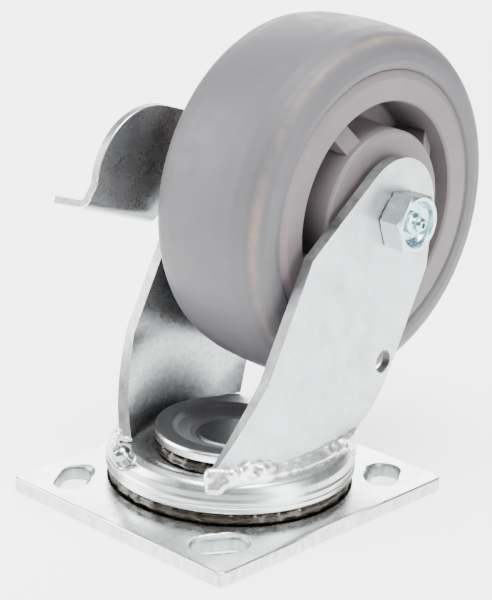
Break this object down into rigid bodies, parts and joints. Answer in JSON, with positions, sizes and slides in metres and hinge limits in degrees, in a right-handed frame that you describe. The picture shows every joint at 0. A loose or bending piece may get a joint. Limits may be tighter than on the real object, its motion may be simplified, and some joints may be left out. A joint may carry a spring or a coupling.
{
  "type": "swivel plate caster wheel",
  "caption": "Swivel plate caster with a ball-bearing fork, a rubber-treaded ribbed wheel on a roller bearing, and a side brake lever; stands on its mounting plate.",
  "frame": {"origin": "centre of the mounting face, on the swivel axis", "axes": "+Z from the mounting plate towards the wheel, +X along the axle towards the bolt head, +Y towards the side that the wheel is offset to"},
  "size_m": [0.1078, 0.1641, 0.1643],
  "materials": {
    "zinc_plate": "zinc-plated pressed steel with mill marks and scratches",
    "bright_zinc": "bright blue-clear zinc on turned steel",
    "dark_steel": "oiled dark bearing steel",
    "greasy_steel": "bearing balls in brown grease",
    "weld_metal": "lumpy plated weld bead",
    "core_plastic": "moulded pinkish grey polyolefin",
    "grey_rubber": "smooth moulded grey thermoplastic rubber",
    "cage_plastic": "moulded black nylon"
  },
  "bodies": {
    "base": {"mounting_plate": "zinc_plate", "kingpin": "dark_steel", "retainer_washer": "dark_steel"},
    "lower_balls": {"lower_ball_row": "greasy_steel"},
    "upper_balls": {"upper_ball_row": "greasy_steel"},
    "fork": {"yoke_base": "zinc_plate", "near_leg": "zinc_plate", "far_leg": "zinc_plate", "near_leg_weld": "weld_metal", "far_leg_weld": "weld_metal", "swivel_grease_fitting": "bright_zinc", "axle_bolt": "bright_zinc", "axle_grease_fitting": "bright_zinc", "axle_nut": "bright_zinc", "nut_washer": "bright_zinc", "brake_cam_washer": "zinc_plate", "spanner_bushing": "dark_steel"},
    "rollers": {"roller_cage": "cage_plastic", "roller_1": "dark_steel", "roller_2": "dark_steel", "roller_3": "dark_steel", "roller_4": "dark_steel", "roller_5": "dark_steel", "roller_6": "dark_steel", "roller_7": "dark_steel", "roller_8": "dark_steel"},
    "wheel": {"wheel_core": "core_plastic", "tread": "grey_rubber", "near_bearing_washer": "dark_steel", "far_bearing_washer": "dark_steel"},
    "lever": {"brake_lever": "zinc_plate"}
  },
  "joints": [
    {"name": "swivel", "type": "hinge", "parent": "base", "child": "fork", "pos_m": [0, 0, 0], "axis": [0, 0, 1], "continuous": true},
    {"name": "lower_ball_orbit", "type": "hinge", "parent": "base", "child": "lower_balls", "pos_m": [0, 0, 0], "axis": [0, 0, 1], "continuous": true},
    {"name": "upper_ball_orbit", "type": "hinge", "parent": "base", "child": "upper_balls", "pos_m": [0, 0, 0], "axis": [0, 0, 1], "continuous": true},
    {"name": "wheel_spin", "type": "hinge", "parent": "fork", "child": "wheel", "pos_m": [0, 0.043, 0.10025], "axis": [1, 0, 0], "continuous": true},
    {"name": "roller_orbit", "type": "hinge", "parent": "fork", "child": "rollers", "pos_m": [0, 0.043, 0.10025], "axis": [1, 0, 0], "continuous": true},
    {"name": "brake_swing", "type": "hinge", "parent": "fork", "child": "lever", "pos_m": [0, 0.043, 0.10025], "axis": [1, 0, 0], "range_deg": [0, 35]}
  ],
  "couplings": [
    {"joint": "lower_ball_orbit", "follows": "swivel", "ratio": 0.5},
    {"joint": "upper_ball_orbit", "follows": "swivel", "ratio": 0.5},
    {"joint": "roller_orbit", "follows": "wheel_spin", "ratio": 0.6137}
  ]
}
